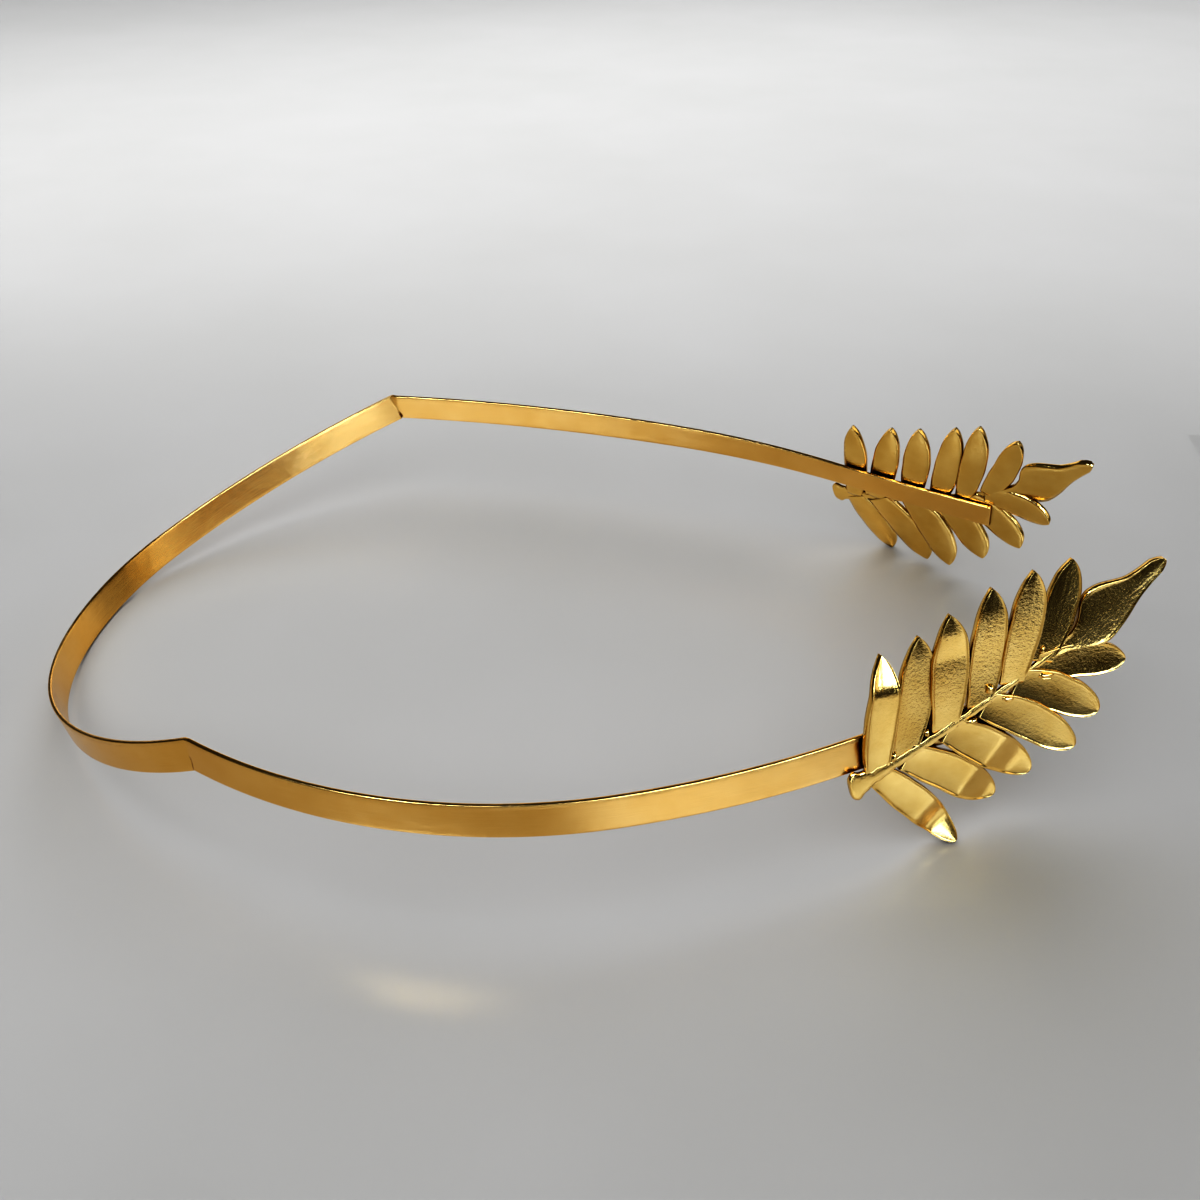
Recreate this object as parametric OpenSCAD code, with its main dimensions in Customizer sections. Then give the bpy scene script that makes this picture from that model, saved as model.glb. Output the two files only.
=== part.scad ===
// Open-front leaf headband, lying on a flat surface as it rests by itself.
// A flat metal strip stands on edge and runs round the head as one loop, closed at the back.
// It is creased behind each ear, so that the back section slopes down to the nape.
// A cast leaf spray is soldered outside each free end.
// Millimetres. +X points to the open front, +Y to the wearer's left, +Z up.

/* [Strip] */
// Width of the strip, which stands on edge
strip_w = 6.4; // [5:0.2:8]
// Thickness of the strip
strip_t = 0.8; // [0.6:0.1:1.6]
// Length of strip hidden behind each spray
tail_len = 34; // [30:1:45]
// Distance between cross-sections of the strip
strip_step = 4; // [2:1:8]

/* [Back section] */
// Downward slope of the back section, in degrees
back_slope = 20.8; // [20:0.1:22]
// Inward lean of the strip's upper edge in the back section, at the right crease
back_lean_right = 7.5; // [0:0.5:10]
// The same at the left crease, where the strip leans outward a little
back_lean_left = -1; // [-5:0.5:5]
// Heading of the strip as it leaves the right crease, inward from straight back
back_heading = 5.5; // [4:0.1:7]

/* [Creases] */
// Forward place of the right crease
crease_x = -51.6; // [-55:0.1:-50]
// Sideways place of the right crease
crease_y = -58; // [-60:0.1:-55]
// Height of the strip's middle line at the creases
crease_z = 22.54; // [22.54:0.01:24]
// Downward slope of the two arms towards the front, in degrees
arm_slope = 0.2; // [0:0.1:0.5]

/* [Spray] */
// Thickness of the leaflets
leaf_t = 1; // [0.8:0.1:1.5]
// How far a leaflet's edges stand up from its middle
leaf_dish = 0.4; // [0.2:0.1:0.8]
// Radius that the rib of a spray is curved to
rib_radius = 93; // [85:1:110]
// Length of the rib, from the stub to the terminal leaflet
rib_len = 40; // [38:1:42]
// Thickness of the rib at the stub
rib_d_base = 2; // [1.7:0.1:2.1]
// Thickness of the rib at the terminal leaflet
rib_d_end = 1.7; // [1.4:0.1:1.8]
// Length of the blunt stub behind the rib
stub_len = 3; // [2:0.5:5]
// Length of the terminal leaflet
terminal_len = 21.5; // [18:0.5:24]

/* [Hidden] */

// Columns of an arc: degrees turned and length along it
TURN = 0;
LENGTH = 1;
// The back section's arcs, from the right crease round to the left one
BACK_ARCS = [
    [43, 46.5],
    [49.5, 48],
    [24.4, 19.1],
    [32.6, 63.7]
];

// Columns of a side: which way is outward, the heading outward of the arm at its crease,
// the arm's two arcs, degrees that the arm's line turns outward along a spray,
// the strip's inward lean at the crease and at the spray,
// the rib's slope up from the strip, and how far the rib starts below the strip's middle line
OUT_SIGN = 0;
HEADING = 1;
FIRST_ARC = 2;
SECOND_ARC = 3;
FLARE = 4;
CREASE_LEAN = 5;
SPRAY_LEAN = 6;
RIB_SLOPE = 7;
RIB_DROP = 8;
RIGHT = [-1, 24.9, [-44.1, 73.5], [-13.5, 41.5], 21.8, 3.5, 12.5, 13.8, 5.1];
LEFT = [1, 1.4, [-13.5, 72.5], [-14, 38.3], 5.3, 9.5, 23.6, 12.4, 8.1];
flare_len = 50;

// Columns of a leaflet: place along the rib, width, then its length, its angle from the rib
// and how far its tip stands out from the spray's surface, for the right and for the left spray
PLACE = 0;
LEAF_W = 1;
RIGHT_LEAF = 2;
LEFT_LEAF = 3;
LEAF_LEN = 0;
ANGLE = 1;
TIP_OUT = 2;
UPPER_LEAFLETS = [
    [2.5, 4.8, [21.7, 75, 0], [22.8, 75, 0.8]],
    [8, 6.8, [22, 65, 0], [22.7, 64, 2]],
    [16.5, 6.4, [22, 68, 0], [22.2, 63, 1.6]],
    [23.5, 6.4, [22, 61, 0.5], [22.3, 56, 1.8]],
    [30, 6.4, [21.5, 55, 1], [21.6, 54, 1.5]],
    [36, 6, [18.5, 43, 0], [18.6, 40.5, 0.4]]
];
LOWER_LEAFLETS = [
    [2.5, 6.2, [24.5, -63, 0.5], [19, -77, 0.6]],
    [8.5, 7.4, [24, -54, -1.5], [20.5, -70.5, -1]],
    [17, 7.4, [23, -60, -2.5], [19.8, -82, -2.3]],
    [24.5, 7.2, [21, -59, -2], [17.8, -80.5, -2]],
    [31, 7.2, [18.5, -58, -2.5], [16, -69.5, -2]],
    [35, 6.6, [16.5, -38, -2.5], [14.3, -36.5, -2.2]]
];
// The left leaflets are narrower than the right ones by this share
left_width = 0.86;
leaf_stations = [0, 0.1, 0.22, 0.35, 0.5, 0.65, 0.78, 0.88, 0.95, 1];
petiole_share = 0.25;
widest_share = 0.45;
tip_half_w = 0.35;
leaf_start = 0.3;
terminal_lap = 1.7;

// Columns of the terminal leaflet: share of its length, half-width above and below its middle
SHARE = 0;
ABOVE = 1;
BELOW = 2;
TERMINAL = [
    [0, 0.7, 0.7],
    [0.11, 0.7, 1.6],
    [0.21, 0.9, 3.2],
    [0.3, 2.2, 4.9],
    [0.38, 4.2, 5.2],
    [0.47, 4.9, 4.6],
    [0.56, 4.5, 3.8],
    [0.64, 3.5, 2.9],
    [0.73, 2.3, 2.1],
    [0.83, 1.8, 1.6],
    [0.93, 1.6, 1.3],
    [0.98, 0.9, 0.7],
    [1, 0.3, 0.3]
];

// Columns of a rib ring: place along the rib, and its size as a share of the rib's there
RIB_PLACE = 0;
SIZE = 1;
RIB = [
    [-stub_len, 0.7],
    [-stub_len + 0.5, 1.2],
    [-1, 1.2],
    [0, 1],
    for (i = [1:9]) [i * rib_len / 9, 1],
    [rib_len + 1.7, 0.7]
];
rib_sides = 8;
rib_rise = 0.52;

// The solder's thickness, the gap that it fills behind the leaflets, and its places along each rib,
// which are where the rib crosses the strip's face
solder_d = 1;
solder_gap = 0.1;
RIGHT_SOLDER = [9.5, 12, 15, 17.5, 20.5];
LEFT_SOLDER = [19, 21.5, 24, 26.5, 28.5];
leaf_offset = (strip_t + leaf_t) / 2 + solder_gap;
brass = [0.83, 0.63, 0.22];

// Place and heading [forward, sideways, degrees] a distance s along one arc from p
function along(p, arc, s) =
    let (rate = arc[TURN] / arc[LENGTH], r = 180 / (PI * rate), h = p.z + rate * s)
    [p.x + r * (sin(h) - sin(p.z)), p.y - r * (cos(h) - cos(p.z)), h];

// The same along a chain of arcs, the last of which goes on as far as asked
function walk(arcs, s, p, i = 0) =
    i == len(arcs) - 1 || s <= arcs[i][LENGTH]
        ? along(p, arcs[i], s)
        : walk(arcs, s - arcs[i][LENGTH], along(p, arcs[i], arcs[i][LENGTH]), i + 1);

// A frame is [point on the strip's middle line, direction across its width, outward direction]
function leaned(point, up, out, lean) =
    [point, cos(lean) * up - sin(lean) * out, cos(lean) * out + sin(lean) * up];

back_len = sum_lengths(BACK_ARCS);
function sum_lengths(arcs, i = 0) = i == len(arcs) ? 0 : arcs[i][LENGTH] + sum_lengths(arcs, i + 1);

function back_frame(s) =
    let (
        p = walk(BACK_ARCS, s, [0, 0, back_heading]),
        backward = [-cos(back_slope), 0, -sin(back_slope)],
        leftward = [0, 1, 0],
        up = [-sin(back_slope), 0, cos(back_slope)],
        point = [crease_x, crease_y, crease_z] + p.x * backward + p.y * leftward,
        out = sin(p.z) * backward - cos(p.z) * leftward
    )
    leaned(point, up, out, back_lean_right + (back_lean_left - back_lean_right) * s / back_len);

function crease_point(side) = side[OUT_SIGN] < 0 ? back_frame(0)[0] : back_frame(back_len)[0];
function arm_len(side) = side[FIRST_ARC][LENGTH] + side[SECOND_ARC][LENGTH];

function arm_frame(side, s) =
    let (
        arcs = [side[FIRST_ARC], side[SECOND_ARC], [side[FLARE], flare_len]],
        p = walk(arcs, s, [0, 0, side[HEADING]]),
        forward = [cos(arm_slope), 0, -sin(arm_slope)],
        outward = [0, side[OUT_SIGN], 0],
        up = [sin(arm_slope), 0, cos(arm_slope)],
        point = crease_point(side) + p.x * forward + p.y * outward,
        out = cos(p.z) * outward - sin(p.z) * forward,
        share = min(s / arm_len(side), 1),
        lean = side[CREASE_LEAN] + (side[SPRAY_LEAN] - side[CREASE_LEAN]) * pow(share, 2)
    )
    leaned(point, up, out, lean);

// The mitred frame where two straight runs of strip meet at a crease
function mitre(a, b) =
    let (up = (a[1] + b[1]) / norm(a[1] + b[1]), out = (a[2] + b[2]) / norm(a[2] + b[2]))
    [a[0], up / (up * a[1]), out / (out * a[2])];

// Frames from s = 0 to s = length, both ends included, spaced about strip_step apart
function spaced(length) = let (n = ceil(length / strip_step)) [for (i = [0:n]) length * i / n];
function arm_frames(side) = [for (s = spaced(arm_len(side) + tail_len)) if (s > 0) arm_frame(side, s)];
function reversed(list) = [for (i = [len(list) - 1:-1:0]) list[i]];

function strip_frames() = concat(
    reversed(arm_frames(RIGHT)),
    [mitre(arm_frame(RIGHT, 0), back_frame(0))],
    [for (s = spaced(back_len)) if (s > 0 && s < back_len) back_frame(s)],
    [mitre(arm_frame(LEFT, 0), back_frame(back_len))],
    arm_frames(LEFT)
);

function strip_ring(frame) =
    [for (c = [[1, 1], [1, -1], [-1, -1], [-1, 1]])
        frame[0] + c.x * strip_w / 2 * frame[1] + c.y * strip_t / 2 * frame[2]];

// A closed skin through rings that all have the same number of points
module skin(rings) {
    n = len(rings[0]);
    last = (len(rings) - 1) * n;
    polyhedron(
        points = [for (ring = rings) each ring],
        faces = concat(
            [for (i = [0:len(rings) - 2], j = [0:n - 1], half = [0, 1])
                let (a = i * n + j, b = i * n + (j + 1) % n)
                half == 0 ? [a, a + n, b] : [b, a + n, b + n]],
            [for (j = [1:n - 2]) [0, j, j + 1]],
            [for (j = [1:n - 2]) [last, last + j + 1, last + j]]
        )
    );
}

// A point of a spray: s along the rib's first direction, t across it, n outward from its middle
function spray_point(side, s, t, n) =
    let (
        slope = side[RIB_SLOPE],
        frame = arm_frame(side, arm_len(side) + s * cos(slope) - t * sin(slope)),
        h = s * sin(slope) + t * cos(slope) - side[RIB_DROP]
    )
    frame[0] + h * frame[1] + (n + leaf_offset) * frame[2];

// Place and heading [s, t, degrees] along the rib, a single arc
function rib_at(place) = along([0, 0, 0], [180 * rib_len / (PI * rib_radius), rib_len], place);

// Half-width of a leaflet as a share of its greatest, from its base at 0 to its tip at 1
function leaf_share(u) =
    let (
        swell = petiole_share + (1 - petiole_share) * sin(90 * min(1, u / widest_share)),
        tip = max(0, (u - widest_share) / (1 - widest_share))
    )
    swell * pow(1 - pow(tip, 3), 0.8);

// One ring of a leaflet round place p on its middle line, which heads along p.z:
// a dished front face and a back face of the same form
function leaf_ring(side, p, above, below, lift) =
    [for (face = [1, -1], v = face * side[OUT_SIGN] < 0 ? [1, 0, -1] : [-1, 0, 1])
        let (
            w = v > 0 ? above : below,
            n = lift + leaf_dish * v * v * min(1, w) + face * leaf_t / 2
        )
        spray_point(side, p.x - v * w * sin(p.z), p.y + v * w * cos(p.z), n)];

module leaflet(side, leaf) {
    is_left = side[OUT_SIGN] > 0;
    form = leaf[is_left ? LEFT_LEAF : RIGHT_LEAF];
    root = rib_at(leaf[PLACE]);
    angle = root.z + form[ANGLE];
    half_w = leaf[LEAF_W] / 2 * (is_left ? left_width : 1);
    skin([for (u = leaf_stations)
        let (
            w = max(tip_half_w, half_w * leaf_share(u)),
            run = leaf_start + u * (form[LEAF_LEN] - leaf_start),
            p = [root.x + run * cos(angle), root.y + run * sin(angle), angle]
        )
        leaf_ring(side, p, w, w, form[TIP_OUT] * u * u)]);
}

// The terminal leaflet goes on along the rib's own curve, from just behind the rib's end
module terminal_leaflet(side) {
    skin([for (row = TERMINAL)
        let (place = rib_len - terminal_lap + row[SHARE] * (terminal_len + terminal_lap))
        leaf_ring(side, rib_at(place), row[ABOVE], row[BELOW], 0)]);
}

// The rib and its blunt stub, as round rings along the rib's curve
module rib(side) {
    skin([for (row = RIB)
        let (
            place = row[RIB_PLACE],
            p = rib_at(place),
            r = row[SIZE] * (rib_d_base + (rib_d_end - rib_d_base) * max(0, place) / rib_len) / 2
        )
        [for (i = [0:rib_sides - 1])
            let (angle = -side[OUT_SIGN] * (i + 0.5) * 360 / rib_sides, w = r * cos(angle))
            spray_point(side, p.x - w * sin(p.z), p.y + w * cos(p.z), rib_rise + r * sin(angle))]]);
}

// Short round joints of solder from the strip's middle to the rib's
module solder(side) {
    for (place = side[OUT_SIGN] > 0 ? LEFT_SOLDER : RIGHT_SOLDER) {
        p = rib_at(place);
        hull() {
            translate(spray_point(side, p.x, p.y, rib_rise)) sphere(d = solder_d, $fn = 8);
            translate(spray_point(side, p.x, p.y, -leaf_offset)) sphere(d = solder_d, $fn = 8);
        }
    }
}

module spray(side) {
    for (leaf = concat(UPPER_LEAFLETS, LOWER_LEAFLETS)) leaflet(side, leaf);
    terminal_leaflet(side);
    rib(side);
    solder(side);
}

module strip() {
    skin([for (frame = strip_frames()) strip_ring(frame)]);
}

// Strip and sprays are soldered, so they are one solid
module headband() {
    color(brass) {
        strip();
        spray(RIGHT);
        spray(LEFT);
    }
}

headband();
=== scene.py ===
import math
from collections import namedtuple

import bpy
import numpy as np
from mathutils import Matrix, Vector


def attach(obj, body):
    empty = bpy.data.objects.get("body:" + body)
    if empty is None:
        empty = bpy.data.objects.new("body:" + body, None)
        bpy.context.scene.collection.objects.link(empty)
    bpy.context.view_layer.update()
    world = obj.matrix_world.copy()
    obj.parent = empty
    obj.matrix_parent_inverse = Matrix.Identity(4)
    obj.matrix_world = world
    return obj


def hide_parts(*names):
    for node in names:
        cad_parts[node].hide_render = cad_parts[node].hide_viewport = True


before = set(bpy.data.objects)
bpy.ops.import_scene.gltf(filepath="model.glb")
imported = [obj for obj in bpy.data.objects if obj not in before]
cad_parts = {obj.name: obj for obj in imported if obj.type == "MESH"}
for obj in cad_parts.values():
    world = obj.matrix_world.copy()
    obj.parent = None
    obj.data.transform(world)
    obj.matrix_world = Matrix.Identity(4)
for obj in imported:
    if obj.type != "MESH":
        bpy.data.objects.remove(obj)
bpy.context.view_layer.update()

MM = 0.001
NEAR = 1e-9  # lengths closer than this, in mm, are the same
UV_APART = 20  # how far apart, in mm, the leaflets' textures start

# ---------------------------------------------------------------- sizes, in mm and degrees
# an arc is (how far it turns, length); a lean is how far the strip's top tips inward
STRIP_W = 6.4
STRIP_T = 0.8
STRIP_EDGE_R = 0.24
TAIL_LEN = 34.0
BACK_SLOPE = 20.8
BACK_LEAN = (7.5, -1.0)
BACK_HEADING = 5.5
CREASE = (-51.6, -58.0, 22.54)
ARM_SLOPE = 0.2
BACK_ARCS = ((43, 46.5), (49.5, 48), (24.4, 19.1), (32.6, 63.7))
FLARE_LEN = 50.0

# sign: which way is outward along Y; wide: widths of the upper and lower leaflets as shares of the table's
RIGHT = dict(
    name="right", sign=-1, heading=24.9, arcs=((-44.1, 73.5), (-13.5, 41.5)), flare=21.8,
    crease_lean=3.5, spray_lean=12.5, rib_slope=13.8, rib_drop=5.1, wide=(1.0, 1.0),
)
LEFT = dict(
    name="left", sign=1, heading=1.4, arcs=((-13.5, 72.5), (-14, 38.3)), flare=5.3,
    crease_lean=9.5, spray_lean=23.6, rib_slope=12.4, rib_drop=8.1, wide=(0.84, 1.08),
)

LEAF_T = 1.0
LEAF_DISH = 0.15
SOLDER_GAP = 0.1
LEAF_OFFSET = (STRIP_T + LEAF_T) / 2 + SOLDER_GAP
LEAF_START = 0.3
LEAF_TIP_HALF_W = 0.12
RIB_RADIUS = 93.0
RIB_LEN = 40.0
RIB_OVERRUN = 6.0
RIB_D = (2.0, 1.7)
RIB_RISE = 0.52
TERMINAL_LEN = 21.35
TERMINAL_LAP = 1.7

# place: along the rib; right: length and angle; left: length, angle and how far the tip stands out
# bow: how far the right leaflet bends sideways at its middle
# slopes: of the right leaflet, as (share of its length, degrees outward)
Leaflet = namedtuple("Leaflet", "place width right left bow slopes")
UPPER_LEAFLETS = (
    Leaflet(2.5, 6.2, (21.2, 70), (22.8, 75, 0.8), 0.4, ((0, 3), (0.5, 5), (0.70, 3), (0.79, -25), (1, -25))),
    Leaflet(8, 6.8, (22, 65), (22.7, 64, 2), -0.8, ((0, -2), (0.4, 1), (0.8, 2), (0.9, -1), (1, -1))),
    Leaflet(16.5, 6.9, (22, 68), (22.2, 63, 1.6), -0.5,
            ((0, 3), (0.45, 2), (0.58, 1), (0.66, 8), (0.80, 8), (0.88, 0), (1, 0))),
    Leaflet(23.5, 6.4, (22, 61), (22.3, 56, 1.8), -0.5,
            ((0, -2), (0.3, 3), (0.5, 6), (0.75, 5), (0.88, -1), (1, -1))),
    Leaflet(30, 6.1, (21.2, 55), (21.6, 54, 1.5), -0.5, ((0, 5), (0.42, 6), (0.9, 6), (1, 2))),
    Leaflet(36, 6, (18.5, 43), (18.6, 40.5, 0.4), -0.5, ((0, 0), (1, 0))),
)
LOWER_LEAFLETS = (
    Leaflet(2.5, 6.2, (24.5, -63), (19, -77, 0.6), 0.5,
            ((0, -2), (0.45, 0), (0.54, 0), (0.62, -16), (0.73, -16), (0.82, 19), (1, 21))),
    Leaflet(8.5, 7.2, (24, -54), (20.5, -70.5, -1), 0.5,
            ((0, -2), (0.3, 0), (0.58, 0), (0.66, -17), (0.88, -17), (0.95, -5), (1, -3))),
    Leaflet(17, 7.2, (22.4, -60), (19.8, -82, -2.3), 0.5,
            ((0, 0), (0.35, 0), (0.46, 0), (0.54, -17), (0.74, -17), (0.86, -2), (1, -2))),
    Leaflet(24.5, 7.0, (20.0, -59), (17.8, -80.5, -2), 0.5, ((0, 2), (0.6, 4), (1, 5))),
    Leaflet(31, 7.0, (17.2, -58), (16, -69.5, -2), 0.5, ((0, 2), (0.4, 2), (1, 1))),
    Leaflet(35, 6.6, (16.5, -38), (14.3, -36.5, -2.2), 0.5, ((0, 0), (0.3, -4), (1, -6))),
)
LEFT_BOW = -0.5  # of the left upper leaflets; the lower ones bend the other way
TERMINAL_SLOPES = ((0, 0), (0.4, 0), (0.55, 3), (1, 3))

# root: width at the rib as a share of the greatest; widest: where that is; blunt: smaller is blunter
Form = namedtuple("Form", "root widest blunt")
UPPER_FORM = Form(0.72, 0.45, 0.8)
LOWER_FORM = Form(0.70, 0.42, 0.62)

# share of the terminal leaflet's length, half-width above and below its middle
TERMINAL = (
    (0, 0.7, 0.7),
    (0.11, 0.7, 1.6),
    (0.21, 0.9, 3.2),
    (0.3, 2.2, 4.9),
    (0.38, 4.4, 5.2),
    (0.47, 5.2, 4.6),
    (0.56, 4.8, 3.8),
    (0.64, 3.7, 2.9),
    (0.73, 2.3, 2.1),
    (0.83, 1.8, 1.6),
    (0.93, 1.6, 1.3),
    (0.98, 0.9, 0.7),
    (1, 0.3, 0.3),
)

# place along the rib, and its width there as a share of RIB_D; the stub is the wide part below 0
RIB_SIZES = (
    (-2.7, 1.9),
    (-2.62, 2.3),
    (-2.45, 2.5),
    (-2.2, 2.6),
    (-1.8, 2.6),
    (-1.2, 2.5),
    (0.2, 2.1),
    (1.6, 1.6),
    (4, 1.2),
    (8, 0.95),
    (20, 0.85),
    (RIB_LEN, 0.7),
    (RIB_LEN + RIB_OVERRUN, 0.3),
)

# lumps left by the casting: place along the rib, how far above it, length, width, height, and turn
LUMPS = (
    (6.3, 1.5, 1.9, 1.3, 0.8, 60),
    (13.4, 1.9, 1.5, 1.0, 0.7, 70),
    (21.5, -1.5, 2.2, 1.2, 0.8, -30),
    (26.6, 2.1, 1.8, 1.4, 0.9, 50),
    (28.4, -1.9, 2.4, 1.2, 0.8, -40),
    (35.6, -2.6, 3.2, 1.1, 0.8, -35),
    (37.5, 1.9, 1.5, 0.9, 0.6, 45),
)


# ---------------------------------------------------------------- the construction, as in the CAD
def along(p, arc, s):
    """Places and headings at lengths s of an arc that starts at p, a place and a heading."""
    rate = math.radians(arc[0]) / arc[1]
    h = p[2] + rate * s
    return np.stack([p[0] + (np.sin(h) - np.sin(p[2])) / rate, p[1] - (np.cos(h) - np.cos(p[2])) / rate, h], -1)


def walk(arcs, s, p):
    """Places and headings at lengths s of a chain of arcs; the last arc runs on past its end."""
    s = np.atleast_1d(np.asarray(s, float))
    out = np.zeros((len(s), 3))
    start = 0.0
    for i, arc in enumerate(arcs):
        last = i == len(arcs) - 1
        here = s >= start - NEAR
        if not last:
            here &= s <= start + arc[1]
        out[here] = along(p, arc, s[here] - start)
        p = along(p, arc, np.array([arc[1]]))[0]
        start += arc[1]
    return out


def leaned(point, up, out, lean):
    """A frame of the strip, tipped inward at its top by lean."""
    lean = np.radians(lean)[:, None]
    return point, np.cos(lean) * up - np.sin(lean) * out, np.cos(lean) * out + np.sin(lean) * up


BACK_LEN = sum(arc[1] for arc in BACK_ARCS)


def back_frame(s):
    """Middle line, up and outward directions of the back, at lengths s from the right crease."""
    s = np.atleast_1d(np.asarray(s, float))
    p = walk(BACK_ARCS, s, (0, 0, math.radians(BACK_HEADING)))
    slope = math.radians(BACK_SLOPE)
    backward = np.array([-math.cos(slope), 0, -math.sin(slope)])
    leftward = np.array([0, 1.0, 0])
    up = np.array([-math.sin(slope), 0, math.cos(slope)])
    point = np.array(CREASE) + p[:, :1] * backward + p[:, 1:2] * leftward
    out = np.sin(p[:, 2:]) * backward - np.cos(p[:, 2:]) * leftward
    return leaned(point, up, out, BACK_LEAN[0] + (BACK_LEAN[1] - BACK_LEAN[0]) * s / BACK_LEN)


def arm_len(side):
    return sum(arc[1] for arc in side["arcs"])


def arm_frame(side, s):
    """Middle line, up and outward directions of an arm, at lengths s from its crease."""
    s = np.atleast_1d(np.asarray(s, float))
    arcs = (*side["arcs"], (side["flare"], FLARE_LEN))
    p = walk(arcs, s, (0, 0, math.radians(side["heading"])))
    slope = math.radians(ARM_SLOPE)
    forward = np.array([math.cos(slope), 0, -math.sin(slope)])
    outward = np.array([0, side["sign"], 0.0])
    up = np.array([math.sin(slope), 0, math.cos(slope)])
    crease = back_frame(0 if side is RIGHT else BACK_LEN)[0][0]
    point = crease + p[:, :1] * forward + p[:, 1:2] * outward
    out = np.cos(p[:, 2:]) * outward - np.sin(p[:, 2:]) * forward
    share = np.minimum(s / arm_len(side), 1)
    lean = side["crease_lean"] + (side["spray_lean"] - side["crease_lean"]) * share**2
    return leaned(point, up, out, lean)


def spray_point(side, s, t, n):
    """The point of a spray that lies s along its rib, t above it and n outward."""
    slope = math.radians(side["rib_slope"])
    s, t, n = np.broadcast_arrays(*(np.asarray(x, float) for x in (s, t, n)))
    shape = s.shape
    s, t, n = s.ravel(), t.ravel(), n.ravel()
    point, up, out = arm_frame(side, arm_len(side) + s * math.cos(slope) - t * math.sin(slope))
    h = s * math.sin(slope) + t * math.cos(slope) - side["rib_drop"]
    return (point + h[:, None] * up + (n + LEAF_OFFSET)[:, None] * out).reshape(*shape, 3)


def rib_at(place):
    """Where the curved rib is at a place along it, and its heading."""
    place = np.asarray(place, float)
    angle = place / RIB_RADIUS
    return np.sin(angle) * RIB_RADIUS, (1 - np.cos(angle)) * RIB_RADIUS, angle


def smooth(lo, hi, x):
    t = np.clip((x - lo) / (hi - lo), 0, 1)
    return t * t * (3 - 2 * t)


# ---------------------------------------------------------------- meshes
def add_mesh(name, points, faces, uvs, material):
    """points in mm, faces as index tuples, uvs one (u, v) per point."""
    mesh = bpy.data.meshes.new(name)
    mesh.from_pydata([tuple(p) for p in np.asarray(points) * MM], [], faces)
    layer = mesh.uv_layers.new(name="UVMap")
    corner = np.zeros(len(mesh.loops), np.int32)
    mesh.loops.foreach_get("vertex_index", corner)
    layer.data.foreach_set("uv", np.asarray(uvs, np.float32)[corner].ravel())
    mesh.polygons.foreach_set("use_smooth", [True] * len(mesh.polygons))
    mesh.update()
    mesh.materials.append(material)
    obj = bpy.data.objects.new(name, mesh)
    bpy.context.scene.collection.objects.link(obj)
    return obj


def ring_faces(rings, count, flip):
    """Quads between rings of count points each, and one face over each end."""
    faces = []
    for i in range(rings - 1):
        for j in range(count):
            k = (j + 1) % count
            a, b, c, d = i * count + j, i * count + k, (i + 1) * count + k, (i + 1) * count + j
            faces.append((a, d, c, b) if flip else (a, b, c, d))
    first = list(range(count))
    last = [(rings - 1) * count + j for j in range(count)]
    faces.append(tuple(first if flip else first[::-1]))
    faces.append(tuple(last[::-1] if flip else last))
    return faces


def dress(obj):
    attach(obj, "root")
    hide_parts("headband")


# ---------------------------------------------------------------- materials
# colours: (place on the ramp, colour); noises: scale, detail, roughness, on the UV map in mm or in space in m;
# bumps: strength, depth in m
STRIP_COLOURS = ((0.45, (0.80, 0.455, 0.11)), (0.95, (0.90, 0.55, 0.165)))
STRIP_ROUGHNESS = (0.17, 0.27)
# how far the painted shade reaches into the strip's crevices, in m
STRIP_SHADE_REACH = 0.0010
STREAK_STRETCH = (0.12, 4.0, 1)
STREAK_NOISE = (1.0, 6, 0.65)
STREAK_SHARE = 0.45
STREAK_BUMP = (0.5, 0.00005)
STRIP_CLOUDS = (90, 3, 0.55)
DENT_NOISE = (170, 2, 0.5)
DENT_BUMP = (0.6, 0.00025)
CAST_COLOURS = ((0.3, (0.78, 0.48, 0.12)), (0.75, (0.93, 0.62, 0.19)))
CAST_ROUGHNESS = (0.12, 0.22)
# how far the painted shade reaches into the castings' crevices, in m
CAST_SHADE_REACH = 0.0014
CAST_CLOUDS = (160, 3, 0.55)
LINE_STRETCH = (0.25, 2.6, 1)
LINE_NOISE = (1.0, 4, 0.6)
LINE_DEPTH = 0.00008
GRAIN_NOISE = (1800, 3, 0.6)
GRAIN_DEPTH = 0.00010
# painted shade: a dark brown multiplied into the metal's colour where ambient occlusion finds a crevice,
# darkening corners and the joint between strip and leaflets as shadow would
PAINTED_CREVICE_SHADE = ((0.35, (0.22, 0.17, 0.12)), (0.85, (1, 1, 1)))
PAINTED_SHADE_SAMPLES = 8


def new_material(name):
    mat = bpy.data.materials.new(name)
    mat.use_nodes = True
    nodes, links = mat.node_tree.nodes, mat.node_tree.links
    nodes.clear()
    out = nodes.new("ShaderNodeOutputMaterial")
    shader = nodes.new("ShaderNodeBsdfPrincipled")
    links.new(shader.outputs[0], out.inputs["Surface"])
    return mat, nodes, links, shader


def ramp(nodes, links, value, stops):
    node = nodes.new("ShaderNodeValToRGB")
    for element, (pos, colour) in zip(node.color_ramp.elements, stops):
        element.position = pos
        element.color = (*colour, 1)
    links.new(value, node.inputs[0])
    return node.outputs[0]


def noise(nodes, links, vector, scale, detail, rough):
    node = nodes.new("ShaderNodeTexNoise")
    node.inputs["Scale"].default_value = scale
    node.inputs["Detail"].default_value = detail
    node.inputs["Roughness"].default_value = rough
    links.new(vector, node.inputs["Vector"])
    return node.outputs["Fac"]


def stretched(nodes, links, vector, scale):
    node = nodes.new("ShaderNodeMapping")
    node.inputs["Scale"].default_value = scale
    links.new(vector, node.inputs["Vector"])
    return node.outputs["Vector"]


def bump(nodes, links, height, strength, distance, normal=None):
    node = nodes.new("ShaderNodeBump")
    node.inputs["Strength"].default_value = strength
    node.inputs["Distance"].default_value = distance
    links.new(height, node.inputs["Height"])
    if normal:
        links.new(normal, node.inputs["Normal"])
    return node.outputs[0]


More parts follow.
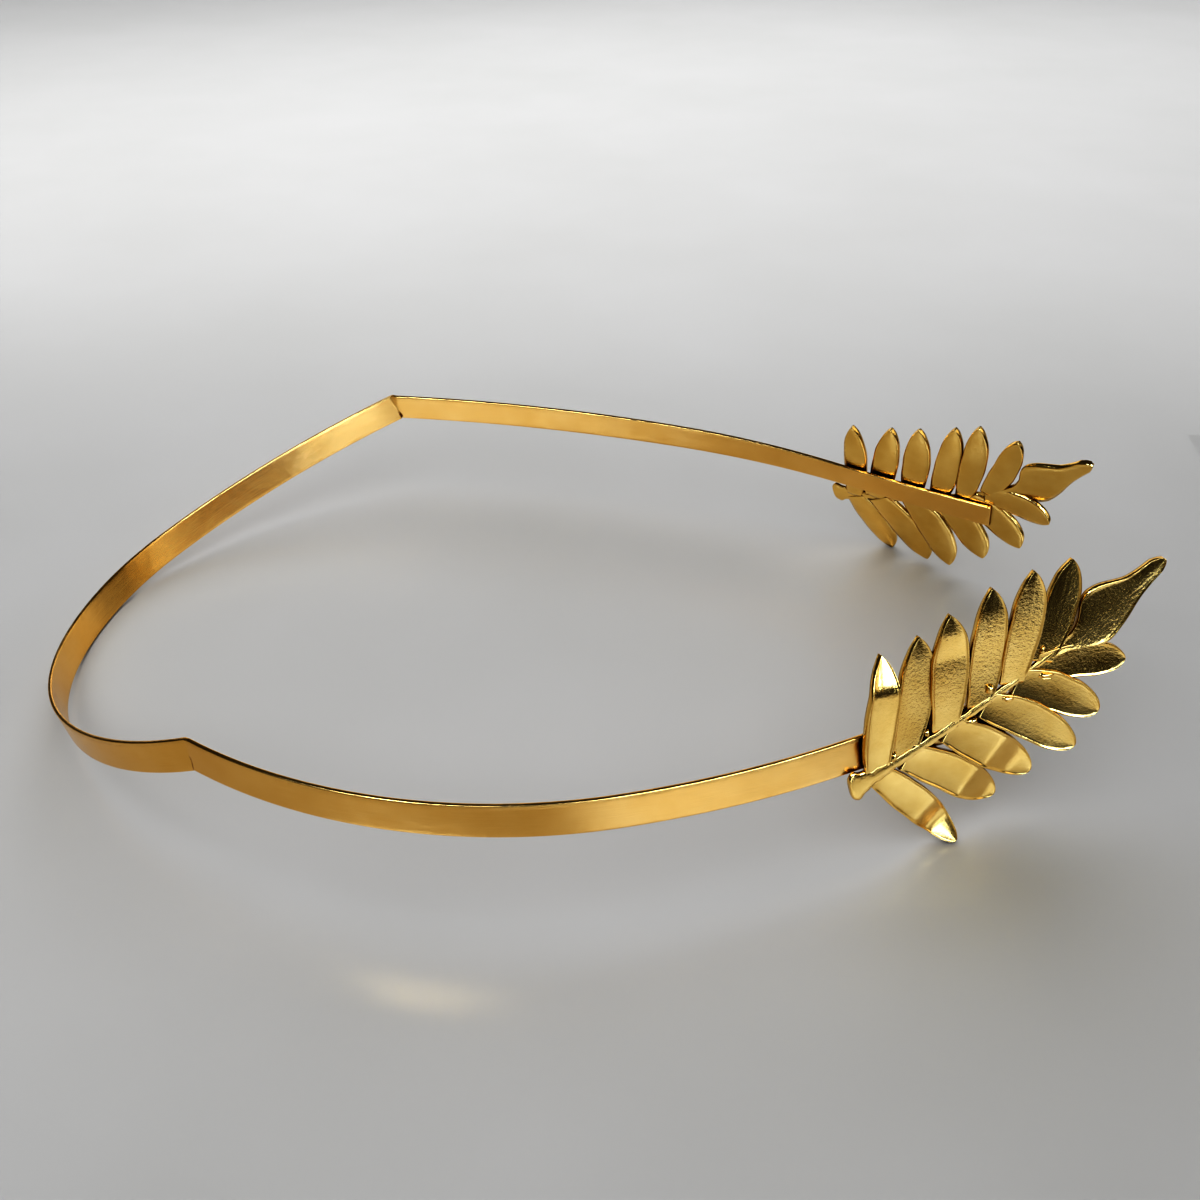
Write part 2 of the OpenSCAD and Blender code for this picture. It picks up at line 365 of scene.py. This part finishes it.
def with_painted_crevice_shade(nodes, links, colour, reach):
    """The colour darkened by painted shade in crevices narrower than reach, where shadow would fall."""
    crevice = nodes.new("ShaderNodeAmbientOcclusion")
    crevice.samples = PAINTED_SHADE_SAMPLES
    crevice.inputs["Distance"].default_value = reach
    product = nodes.new("ShaderNodeVectorMath")
    product.operation = "MULTIPLY"
    links.new(colour, product.inputs[0])
    links.new(ramp(nodes, links, crevice.outputs["AO"], PAINTED_CREVICE_SHADE), product.inputs[1])
    return product.outputs[0]


def texture_spaces(nodes):
    """The UV map, in mm along and across a piece, and the object's own space, in m."""
    uv = nodes.new("ShaderNodeUVMap")
    uv.uv_map = "UVMap"
    return uv.outputs[0], nodes.new("ShaderNodeTexCoord").outputs["Object"]


def finish_metal(nodes, links, shader, colour, crevice, rough_by, roughness, normal):
    shader.inputs["Metallic"].default_value = 1.0
    # the base colour is darkened by painted shade in crevices
    links.new(with_painted_crevice_shade(nodes, links, colour, crevice), shader.inputs["Base Color"])
    rough = nodes.new("ShaderNodeMapRange")
    rough.inputs["To Min"].default_value, rough.inputs["To Max"].default_value = roughness
    links.new(rough_by, rough.inputs["Value"])
    links.new(rough.outputs[0], shader.inputs["Roughness"])
    links.new(normal, shader.inputs["Normal"])


def strip_material():
    """Satin brass, rolled and rubbed along its length, with shallow dents and painted shade in its crevices."""
    mat, nodes, links, shader = new_material("brushed_brass")
    uv, space = texture_spaces(nodes)
    streaks = noise(nodes, links, stretched(nodes, links, uv, STREAK_STRETCH), *STREAK_NOISE)
    clouds = noise(nodes, links, space, *STRIP_CLOUDS)
    dents = noise(nodes, links, space, *DENT_NOISE)
    tint = nodes.new("ShaderNodeMath")
    tint.operation = "MULTIPLY_ADD"
    links.new(streaks, tint.inputs[0])
    tint.inputs[1].default_value = STREAK_SHARE
    links.new(clouds, tint.inputs[2])
    colour = ramp(nodes, links, tint.outputs[0], STRIP_COLOURS)
    normal = bump(nodes, links, streaks, *STREAK_BUMP, normal=bump(nodes, links, dents, *DENT_BUMP))
    finish_metal(nodes, links, shader, colour, STRIP_SHADE_REACH, streaks, STRIP_ROUGHNESS, normal)
    return mat


def leaf_material(name, line_bump, grain_bump):
    """Cast brass: grainy, with fine lines that run along each leaflet, and painted shade in its crevices."""
    mat, nodes, links, shader = new_material(name)
    uv, space = texture_spaces(nodes)
    lines = noise(nodes, links, stretched(nodes, links, uv, LINE_STRETCH), *LINE_NOISE)
    grain = noise(nodes, links, space, *GRAIN_NOISE)
    clouds = noise(nodes, links, space, *CAST_CLOUDS)
    colour = ramp(nodes, links, clouds, CAST_COLOURS)
    normal = bump(nodes, links, lines, line_bump, LINE_DEPTH)
    normal = bump(nodes, links, grain, grain_bump, GRAIN_DEPTH, normal=normal)
    finish_metal(nodes, links, shader, colour, CAST_SHADE_REACH, clouds, CAST_ROUGHNESS, normal)
    return mat


brushed = strip_material()
grainy_cast = leaf_material("grainy_cast_brass", line_bump=0.3, grain_bump=0.55)
smooth_cast = leaf_material("smooth_cast_brass", line_bump=0.02, grain_bump=0.2)


# ---------------------------------------------------------------- the strip
STRIP_ACROSS = (-0.8, -0.4, 0, 0.4, 0.8)  # places across a flat face, as shares of its half-width
EDGE_STEPS = 4
CREASE_STEPS = (0.25, 0.6)  # lengths from a crease that have rings of their own
BACK_RINGS = 175


def strip_section():
    """Points (across the width, through the thickness) of the strip's rounded section."""
    w, t, r = STRIP_W / 2, STRIP_T / 2, STRIP_EDGE_R
    points = [(x * (w - r), t) for x in STRIP_ACROSS[::-1]]
    corners = (((-1, 1), 90), ((-1, -1), 180), ((1, -1), 270), ((1, 1), 0))
    for i, ((a, b), start) in enumerate(corners):
        for k in range(EDGE_STEPS + 1):
            angle = math.radians(start + 90 * k / EDGE_STEPS)
            points.append((a * (w - r) + r * math.cos(angle), b * (t - r) + r * math.sin(angle)))
        if i == 1:
            points += [(x * (w - r), -t) for x in STRIP_ACROSS]
    return np.array(points)


def strip_frames():
    """Frames from the right end round the back to the left end, closest together at the creases."""
    def arm(side):
        total = arm_len(side) + TAIL_LEN
        return arm_frame(side, np.unique(np.concatenate([CREASE_STEPS, np.linspace(1, total, int(total))])))

    def mitre(a, b):
        up = a[1][0] + b[1][0]
        up /= np.linalg.norm(up)
        out = a[2][0] + b[2][0]
        out /= np.linalg.norm(out)
        return a[0], (up / (up @ a[1][0]))[None], (out / (out @ a[2][0]))[None]

    near_creases = [*CREASE_STEPS, *(BACK_LEN - step for step in CREASE_STEPS)]
    back = np.unique(np.concatenate([near_creases, np.linspace(1, BACK_LEN - 1, BACK_RINGS)]))
    parts = [
        tuple(x[::-1] for x in arm(RIGHT)),
        mitre(arm_frame(RIGHT, 0), back_frame(0)),
        back_frame(back),
        mitre(arm_frame(LEFT, 0), back_frame(BACK_LEN)),
        arm(LEFT),
    ]
    return [np.concatenate([part[i] for part in parts]) for i in range(3)]


def run_lengths(points):
    """Length along a line of points, at each of them."""
    return np.concatenate([[0], np.cumsum(np.linalg.norm(np.diff(points, axis=0), axis=1))])


def make_strip():
    point, up, out = strip_frames()
    section = strip_section()
    rings = point[:, None] + section[None, :, :1] * up[:, None] + section[None, :, 1:] * out[:, None]
    uvs = np.stack(np.broadcast_arrays(run_lengths(point)[:, None], run_lengths(section)[None]), -1)
    faces = ring_faces(len(point), len(section), flip=True)
    return add_mesh("band_strip", rings.reshape(-1, 3), faces, uvs.reshape(-1, 2), brushed)


# ---------------------------------------------------------------- the leaf sprays
# a leaflet's section: the front face has more points near its edges than in the middle;
# bands are shares of the half-width, from the middle out, and (rise, fall) pairs are shares of the length
FRONT_EVEN = np.linspace(-1, 1, 33)
FRONT = np.sin(FRONT_EVEN * np.pi / 2) * 0.6 + FRONT_EVEN * 0.4
BACK = np.linspace(1, -1, 11)
RIM_BAND = (0.82, 0.92)
EDGE_BAND = (0.95, 1.0)
EDGE_DROP = 0.26
BACK_BAND = (0.93, 1.0)
BACK_ROUND = 0.14
VEIN_FADE = (0.6, 0.8)
VEIN_LINES = ((0.8, 1, 0.6), (1.31, 2, 0.4))  # spacing, turns of the seed, share
LEAF_RIM = 0.19
LEAF_RIM_SPAN = ((0.03, 0.12), (0.92, 1))
LEAF_RIM_TIP_LOSS = 0.7
UPPER_VEIN, LOWER_VEIN = 0.014, 0.003
LEAF_VEIN_SPAN = ((0.08, 0.3), (0.8, 0.97))
TERMINAL_RIM = 0.14
TERMINAL_RIM_RISE = (0.2, 0.4)
TERMINAL_VEIN = 0.016
TERMINAL_VEIN_SPAN = ((0.2, 0.4), (0.8, 0.97))
TERMINAL_ROUNDS = 3
SLOPE_STEPS = 400
BEND_STEPS = 8
WAVER = (0.02, 0.012)
WAVES_ABOVE, WAVES_BELOW = (9, 23), (8, 21)
BODY_RINGS, TIP_RINGS = 46, 11
TIP_SHARE, TIP_CROWDING = 0.1, 1.6
TERMINAL_RINGS = ((0, 0.93, 55), (0.935, 1, 12))  # from, to, how many
UPPER_SEED, LOWER_SEED, TERMINAL_SEED, RIB_SEED = 1.0, 8.0, 15.0, 3.0
LAST_LOWER = 5


def leaf_share(u, form):
    """Half-width at each share u of a leaflet's length, as a share of its greatest."""
    swell = form.root + (1 - form.root) * np.sin(np.pi / 2 * np.minimum(1, u / form.widest))
    tip = np.maximum(0, (u - form.widest) / (1 - form.widest))
    return swell * np.maximum(0, 1 - tip**3) ** form.blunt


def slope_lift(u, length, slopes):
    """How far outward each place u lies on a leaflet with these slopes, rounded a little at each bend."""
    fine = np.linspace(0, 1, SLOPE_STEPS + 1)
    share, degrees = np.array(slopes, float).T
    slope = np.pad(np.tan(np.radians(np.interp(fine, share, degrees))), BEND_STEPS, mode="edge")
    window = 2 * BEND_STEPS + 1
    slope = np.convolve(slope, np.ones(window) / window, mode="valid")
    rise = np.concatenate([[0], np.cumsum((slope[1:] + slope[:-1]) / 2)]) * length / SLOPE_STEPS
    return np.interp(u, fine, rise)


def waver(u, waves, phases):
    """The slight unevenness of an outline, of a slow and a fast wave."""
    return 1 + sum(size * np.sin(wave * u + phase) for size, wave, phase in zip(WAVER, waves, phases))


def leaf_section(w, vein, rim, seed):
    """Points (v, n) round one ring of a leaflet: the front face from v = -1 to 1, then the back face."""
    edge, back_edge = np.abs(FRONT), np.abs(BACK)
    dish = LEAF_DISH * min(1, w)
    lines = sum(
        share * np.cos(FRONT * w * 2 * np.pi / spacing + turns * seed) for spacing, turns, share in VEIN_LINES
    )
    front = dish * FRONT**2 + LEAF_T / 2
    front = front + rim * smooth(*RIM_BAND, edge) - (EDGE_DROP + rim) * smooth(*EDGE_BAND, edge) ** 2
    front = front + vein * lines * (1 - smooth(*VEIN_FADE, edge))
    back = dish * BACK**2 - LEAF_T / 2 + BACK_ROUND * smooth(*BACK_BAND, back_edge) ** 2
    return np.concatenate([FRONT, BACK]), np.concatenate([front, back])


def leaf_mesh(name, side, centre, half_above, half_below, lift, run, vein, rim, seed, material):
    """centre (k, 3): place s, t and heading on the spray of each ring."""
    count = len(FRONT) + len(BACK)
    rings, uvs = [], []
    for i, (s, t, heading) in enumerate(centre):
        v, n = leaf_section(max(half_above[i], half_below[i]), vein[i], rim[i], seed)
        across = v * np.where(v > 0, half_above[i], half_below[i])
        along_s, along_t = s - across * math.sin(heading), t + across * math.cos(heading)
        rings.append(spray_point(side, along_s, along_t, lift[i] + n))
        uvs.append(np.stack([np.full(count, run[i]), across + UV_APART * seed], -1))
    faces = ring_faces(len(centre), count, flip=side is RIGHT)
    return add_mesh(name, np.concatenate(rings), faces, np.concatenate(uvs), material)


def make_leaflet(name, side, leaf, form, seed, material):
    """Above the rib where its angle is positive, and below it where it is negative."""
    is_right, is_upper = side is RIGHT, leaf.right[1] > 0
    length, angle = (leaf.right if is_right else leaf.left)[:2]
    s0, t0, heading = (float(x) for x in rib_at(leaf.place))
    tip = 1 - TIP_SHARE * (1 - np.linspace(0, 1, TIP_RINGS)[1:]) ** TIP_CROWDING
    u = np.concatenate([np.linspace(0, 1 - TIP_SHARE, BODY_RINGS), tip])
    run = LEAF_START + u * (length - LEAF_START)
    a = heading + math.radians(angle)
    bow = (leaf.bow if is_right else LEFT_BOW if is_upper else -LEFT_BOW) * np.sin(np.pi * u)
    centre = np.stack([
        s0 + run * math.cos(a) - bow * math.sin(a),
        t0 + run * math.sin(a) + bow * math.cos(a),
        np.full(len(u), a),
    ], -1)
    half_w = leaf.width / 2 * side["wide"][0 if is_upper else 1]
    w = np.maximum(LEAF_TIP_HALF_W, half_w * leaf_share(u, form))
    above = w * waver(u, WAVES_ABOVE, (seed, 2 * seed))
    below = w * waver(u, WAVES_BELOW, (3 * seed, seed))
    rise, fall = LEAF_RIM_SPAN
    rim = LEAF_RIM * smooth(*rise, u) * (1 - LEAF_RIM_TIP_LOSS * smooth(*fall, u))
    rise, fall = LEAF_VEIN_SPAN
    vein = (UPPER_VEIN if is_upper else LOWER_VEIN) * smooth(*rise, u) * (1 - smooth(*fall, u))
    lift = slope_lift(u, length, leaf.slopes) if is_right else leaf.left[2] * u**2
    return leaf_mesh(name, side, centre, above, below, lift, run, vein, rim, seed, material)


def make_terminal(name, side, seed):
    share, above, below = np.array(TERMINAL).T
    u = np.concatenate([np.linspace(*rings) for rings in TERMINAL_RINGS])
    place = RIB_LEN - TERMINAL_LAP + u * (TERMINAL_LEN + TERMINAL_LAP)
    above, below = np.interp(u, share, above), np.interp(u, share, below)
    for _ in range(TERMINAL_ROUNDS):
        for half in (above, below):
            half[1:-1] = (half[:-2] + 2 * half[1:-1] + half[2:]) / 4
    rim = TERMINAL_RIM * smooth(*TERMINAL_RIM_RISE, u)
    rise, fall = TERMINAL_VEIN_SPAN
    vein = TERMINAL_VEIN * smooth(*rise, u) * (1 - smooth(*fall, u))
    lift = slope_lift(u, TERMINAL_LEN, TERMINAL_SLOPES) if side is RIGHT else 0 * u
    centre = np.stack(rib_at(place), -1)
    return leaf_mesh(name, side, centre, above, below, lift, place, vein, rim, seed, grainy_cast)


RIB_RINGS = 190
RIB_SIDES = 36
RIB_ROUGH = ((1.3, 1, 0.09), (2.9, 2, 0.07))  # waves a mm, turns of the seed, depth
RIB_GROOVES, RIB_GROOVE_DEPTH = 7, 0.05
RIB_HEIGHT, RIB_TIP_HEIGHT_LOSS = 0.5, 0.2
RIB_BOXINESS = (0.7, 0.6)  # across and outward; 1 is round, and smaller is boxier
STUB_FLATNESS = 0.8
STUB_RINGS = 5
STUB_STEP = 0.3


def boxed(x, power):
    return np.sign(x) * np.abs(x) ** power


def make_rib(name, side, seed):
    """A low, grooved bar along the middle of the spray, whose back end is the wide flat stub."""
    stub = [row[0] for row in RIB_SIZES[:STUB_RINGS]]
    place = np.concatenate([stub, np.linspace(stub[-1] + STUB_STEP, RIB_LEN + RIB_OVERRUN, RIB_RINGS)])
    size = np.interp(place, *np.array(RIB_SIZES).T)
    radius = size * (RIB_D[0] + (RIB_D[1] - RIB_D[0]) * np.clip(place / RIB_LEN, 0, 1)) / 2
    angle = np.arange(RIB_SIDES) * 2 * np.pi / RIB_SIDES
    s, t, heading = (x[:, None] for x in rib_at(place))
    rough = 1 + sum(depth * np.sin(place * waves + turns * seed) for waves, turns, depth in RIB_ROUGH)
    grooves = 1 + RIB_GROOVE_DEPTH * np.sin(RIB_GROOVES * angle + seed) * smooth(0, 2, place)[:, None]
    w = radius[:, None] * boxed(np.cos(angle), RIB_BOXINESS[0]) * rough[:, None] * grooves
    height = RIB_HEIGHT - RIB_TIP_HEIGHT_LOSS * smooth(RIB_LEN, RIB_LEN + RIB_OVERRUN, place)
    height = (height / np.maximum(1, size) ** STUB_FLATNESS)[:, None]
    n = RIB_RISE * height + radius[:, None] * boxed(np.sin(angle), RIB_BOXINESS[1]) * height * grooves
    points = spray_point(side, s - w * np.sin(heading), t + w * np.cos(heading), n)
    uvs = np.stack(np.broadcast_arrays(place[:, None], angle[None]), -1)
    faces = ring_faces(len(place), RIB_SIDES, flip=side is LEFT)
    return add_mesh(name, points.reshape(-1, 3), faces, uvs.reshape(-1, 2), grainy_cast)


LUMP_RINGS = 9
LUMP_SIDES = 16
LUMP_BASE = 0.35
LUMP_UNEVEN = (0.14, 0.1)


def make_lumps(name, side):
    """The casting's lumps beside the rib, each half sunk in the leaflets."""
    around = (np.arange(LUMP_SIDES) * 2 * np.pi / LUMP_SIDES)[None]
    down = np.linspace(0, np.pi, LUMP_RINGS + 2)[1:-1, None]
    points, faces, uvs = [], [], []
    for k, (place, above, length, width, height, turn) in enumerate(LUMPS):
        s0, t0, heading = (float(x) for x in rib_at(place))
        s0, t0 = s0 - above * math.sin(heading), t0 + above * math.cos(heading)
        turn = heading + math.radians(turn)
        lumpy = 1 + LUMP_UNEVEN[0] * np.sin(3 * around + 2 * down + k)
        lumpy = lumpy + LUMP_UNEVEN[1] * np.sin(5 * around - 3 * down)
        a = length / 2 * np.sin(down) * np.cos(around) * lumpy
        b = width / 2 * np.sin(down) * np.sin(around) * lumpy
        s = s0 + a * math.cos(turn) - b * math.sin(turn)
        t = t0 + a * math.sin(turn) + b * math.cos(turn)
        first = k * LUMP_RINGS * LUMP_SIDES
        points.append(spray_point(side, s, t, LUMP_BASE + height * np.cos(down)).reshape(-1, 3))
        uvs.append(np.stack([s, t], -1).reshape(-1, 2))
        faces += [tuple(first + i for i in face) for face in ring_faces(LUMP_RINGS, LUMP_SIDES, side is RIGHT)]
    return add_mesh(name, np.concatenate(points), faces, np.concatenate(uvs), grainy_cast)


def make_spray(side):
    """The lower leaflets but the last are smooth; the rest of the spray is grainy."""
    made = []
    name = side["name"]
    for i, leaf in enumerate(UPPER_LEAFLETS):
        piece = f"{name}_upper_leaflet_{i + 1}"
        made.append(make_leaflet(piece, side, leaf, UPPER_FORM, UPPER_SEED + i, grainy_cast))
    for i, leaf in enumerate(LOWER_LEAFLETS):
        piece = f"{name}_lower_leaflet_{i + 1}"
        material = grainy_cast if i == LAST_LOWER else smooth_cast
        made.append(make_leaflet(piece, side, leaf, LOWER_FORM, LOWER_SEED + i, material))
    made.append(make_terminal(f"{name}_terminal_leaflet", side, TERMINAL_SEED))
    made.append(make_rib(f"{name}_rib", side, RIB_SEED))
    made.append(make_lumps(f"{name}_casting_lumps", side))
    return made


for piece in [make_strip(), *make_spray(RIGHT), *make_spray(LEFT)]:
    dress(piece)


# ---------------------------------------------------------------- floor, light and camera, in m and degrees
FLOOR_REACH = 4.0
FLOOR_COLOURS = ((0.3, (0.60, 0.60, 0.595)), (0.7, (0.64, 0.64, 0.64)))
FLOOR_CLOUDS = (9, 3, 0.5)
FLOOR_ROUGHNESS, FLOOR_SPECULAR = 0.25, 0.9
CARD_X, CARD_Y, CARD_Z = (0.155, 1.2), (-0.9, 0.12), 0.0005
CARD_COLOUR = (0.02, 0.017, 0.014)
CARD_ROUGHNESS, CARD_SPECULAR = 0.9, 0.1


def flat_piece(name, xs, ys, z, material):
    """A level rectangle with one material."""
    mesh = bpy.data.meshes.new(name)
    corners = [(xs[0], ys[0], z), (xs[1], ys[0], z), (xs[1], ys[1], z), (xs[0], ys[1], z)]
    mesh.from_pydata(corners, [], [(0, 1, 2, 3)])
    mesh.materials.append(material)
    obj = bpy.data.objects.new(name, mesh)
    bpy.context.scene.collection.objects.link(obj)
    return obj


def make_floor():
    mat, nodes, links, shader = new_material("pale_floor")
    shader.inputs["Roughness"].default_value = FLOOR_ROUGHNESS
    shader.inputs["Specular IOR Level"].default_value = FLOOR_SPECULAR
    space = nodes.new("ShaderNodeTexCoord").outputs["Object"]
    colour = ramp(nodes, links, noise(nodes, links, space, *FLOOR_CLOUDS), FLOOR_COLOURS)
    links.new(colour, shader.inputs["Base Color"])
    reach = (-FLOOR_REACH, FLOOR_REACH)
    flat_piece("floor", reach, reach, 0, mat)


def make_dark_card():
    """A dark card that lies right of the picture, which only the metal's reflections see."""
    mat, _, _, shader = new_material("black_card")
    shader.inputs["Base Color"].default_value = (*CARD_COLOUR, 1)
    shader.inputs["Roughness"].default_value = CARD_ROUGHNESS
    shader.inputs["Specular IOR Level"].default_value = CARD_SPECULAR
    card = flat_piece("dark_card", CARD_X, CARD_Y, CARD_Z, mat)
    card.visible_camera = False
    card.visible_diffuse = False
    card.visible_shadow = False


# soft light panels round the set; seen_by: "dull" surfaces only, "shiny" ones only, or "both"
WHITE = (1.0, 1.0, 1.0)
DAYLIGHT = (0.75, 1.0, 1.7)
Panel = namedtuple("Panel", "name azimuth elevation distance width height radiance colour seen_by")
PANELS = (
    Panel("fill_front", -90, 60, 0.9, 0.90, 0.90, 0.95, WHITE, "dull"),
    Panel("fill_back", 125, 48, 0.7, 1.20, 0.60, 1.35, WHITE, "dull"),
    Panel("back_low", 92, 12, 1.1, 2.10, 0.40, 0.75, WHITE, "both"),
    Panel("right", 0, 13, 0.9, 0.47, 0.38, 0.85, WHITE, "both"),
    Panel("window", -43, 32, 0.9, 0.76, 0.35, 5.6, DAYLIGHT, "shiny"),
    Panel("window_low", -55, 5, 0.9, 0.30, 0.13, 3.4, DAYLIGHT, "shiny"),
    Panel("front", -116, 49, 0.9, 0.30, 0.26, 10.5, DAYLIGHT, "shiny"),
)
PANEL_TARGET = Vector((0.02, 0, 0.02))
WORLD_STRENGTH = 0.03


def make_panel(panel):
    azimuth, elevation = math.radians(panel.azimuth), math.radians(panel.elevation)
    level = math.cos(elevation)
    toward = Vector((math.cos(azimuth) * level, math.sin(azimuth) * level, math.sin(elevation)))
    light = bpy.data.lights.new(panel.name, "AREA")
    light.shape = "RECTANGLE"
    light.size, light.size_y = panel.width, panel.height
    light.energy = panel.radiance * math.pi * panel.width * panel.height
    light.color = panel.colour
    obj = bpy.data.objects.new(panel.name, light)
    obj.location = PANEL_TARGET + toward * panel.distance
    obj.rotation_euler = (-toward).to_track_quat("-Z", "Y").to_euler()
    obj.visible_camera = False
    obj.visible_diffuse = panel.seen_by != "shiny"
    obj.visible_glossy = panel.seen_by != "dull"
    bpy.context.scene.collection.objects.link(obj)


def make_world():
    world = bpy.data.worlds.new("studio")
    world.use_nodes = True
    background = world.node_tree.nodes["Background"]
    background.inputs["Color"].default_value = (*WHITE, 1)
    background.inputs["Strength"].default_value = WORLD_STRENGTH
    bpy.context.scene.world = world


# focal length and centre as shares of the picture's width
CAMERA_PLACE = (0.0360, -0.1900, 0.15824)
CAMERA_PITCH, CAMERA_AZIMUTH, CAMERA_ROLL = (math.radians(x) for x in (36.52, -7.92, 0.49))
PHOTO_W = 1200
CAMERA_FOCAL = 1190 / PHOTO_W
CAMERA_CENTRE = (6.9 / PHOTO_W, 3.7 / PHOTO_W)
SENSOR_W = 36
NEAREST_SEEN = 0.01


def make_camera():
    camera = bpy.data.cameras.new("camera")
    camera.sensor_width = SENSOR_W
    camera.sensor_fit = "HORIZONTAL"
    camera.lens = SENSOR_W * CAMERA_FOCAL
    camera.shift_x = -CAMERA_CENTRE[0]
    camera.shift_y = CAMERA_CENTRE[1]
    camera.clip_start = NEAREST_SEEN
    obj = bpy.data.objects.new("camera", camera)
    level = math.cos(CAMERA_PITCH)
    look = Vector((math.sin(CAMERA_AZIMUTH) * level, math.cos(CAMERA_AZIMUTH) * level, -math.sin(CAMERA_PITCH)))
    right = Vector((math.cos(CAMERA_AZIMUTH), -math.sin(CAMERA_AZIMUTH), 0))
    down = look.cross(right)
    tilted_right = right * math.cos(CAMERA_ROLL) + down * math.sin(CAMERA_ROLL)
    tilted_down = down * math.cos(CAMERA_ROLL) - right * math.sin(CAMERA_ROLL)
    turn = Matrix((tilted_right, -tilted_down, -look)).transposed()
    obj.matrix_world = Matrix.Translation(CAMERA_PLACE) @ turn.to_4x4()
    bpy.context.scene.collection.objects.link(obj)
    bpy.context.scene.camera = obj


make_floor()
make_dark_card()
make_world()
for panel in PANELS:
    make_panel(panel)
make_camera()
bpy.context.scene.view_settings.view_transform = "Standard"
bpy.context.scene.view_settings.look = "Very High Contrast"
